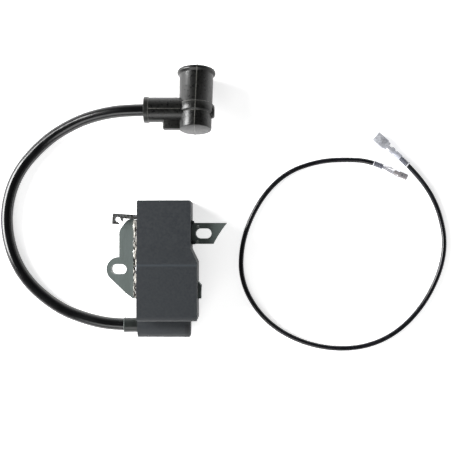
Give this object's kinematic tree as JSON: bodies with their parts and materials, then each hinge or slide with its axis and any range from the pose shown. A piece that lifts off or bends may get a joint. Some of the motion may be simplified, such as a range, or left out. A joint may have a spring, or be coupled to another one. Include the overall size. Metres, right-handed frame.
{
  "type": "ignition coil",
  "caption": "Small-engine ignition coil: potted module on a laminated C core, with its plug lead, right-angle plug boot and separate stop lead.",
  "frame": {"origin": "under the middle of the module, on the surface that its potted back lies on", "axes": "+X from the high-tension tower to the head of the case, -Y towards the flywheel, +Z out of the front face"},
  "size_m": [0.1629, 0.2578, 0.0325],
  "materials": {
    "case": "moulded, fine grain",
    "resin": "cast, glossy",
    "resin_bead": "cast, glossy",
    "core_steel": "stamped, thin grey-green coat",
    "bobbin": "moulded",
    "magnet_wire": "enamelled copper wire",
    "board": "glass laminate",
    "capacitor": "dipped film",
    "component": "moulded",
    "tinned_steel": "tinned",
    "brass": "drawn",
    "grommet": "moulded",
    "lead_jacket": "extruded, glossy",
    "boot_rubber": "moulded",
    "spring_steel": "drawn",
    "wire_jacket": "extruded",
    "strands": "tinned copper",
    "terminal": "tinned brass",
    "clear_sleeve": "clear extruded"
  },
  "bodies": {
    "module": {"case": "case", "potting_resin": "resin", "yoke_resin_bead": "resin_bead", "core_laminations": "core_steel", "primary_bobbin": "bobbin", "primary_winding": "magnet_wire", "charge_winding": "magnet_wire", "secondary_bobbin": "bobbin", "secondary_winding": "magnet_wire", "circuit_board": "board", "charge_capacitor": "capacitor", "thyristor": "component", "diodes": "component", "control_chip": "component", "resistors": "component", "earth_strap": "tinned_steel", "stop_tab": "tinned_steel", "high_tension_pin": "brass", "lead_grommet": "grommet", "plug_lead": "lead_jacket"},
    "boot": {"plug_boot": "boot_rubber", "contact_spring": "spring_steel", "lead_spike": "brass"},
    "stop_wire": {"stop_lead": "wire_jacket", "wire_strands": "strands", "receptacle_terminal": "terminal", "contact_terminal": "terminal", "contact_sleeve": "clear_sleeve"},
    "insulating_sleeve": {"receptacle_sleeve": "clear_sleeve"}
  },
  "joints": [
    {"name": "boot_swivel", "type": "hinge", "parent": "module", "child": "boot", "pos_m": [0.0899, -0.0162, 0.01582], "axis": [0, -1, 0], "range_deg": [0, 180]},
    {"name": "stop_lead_lift", "type": "slide", "parent": "module", "child": "stop_wire", "axis": [0, 0, 1], "range_m": [0, 0.03]},
    {"name": "sleeve_slide", "type": "slide", "parent": "stop_wire", "child": "insulating_sleeve", "axis": [-0.6632, -0.7484, 0], "range_m": [0, 0.003]}
  ]
}
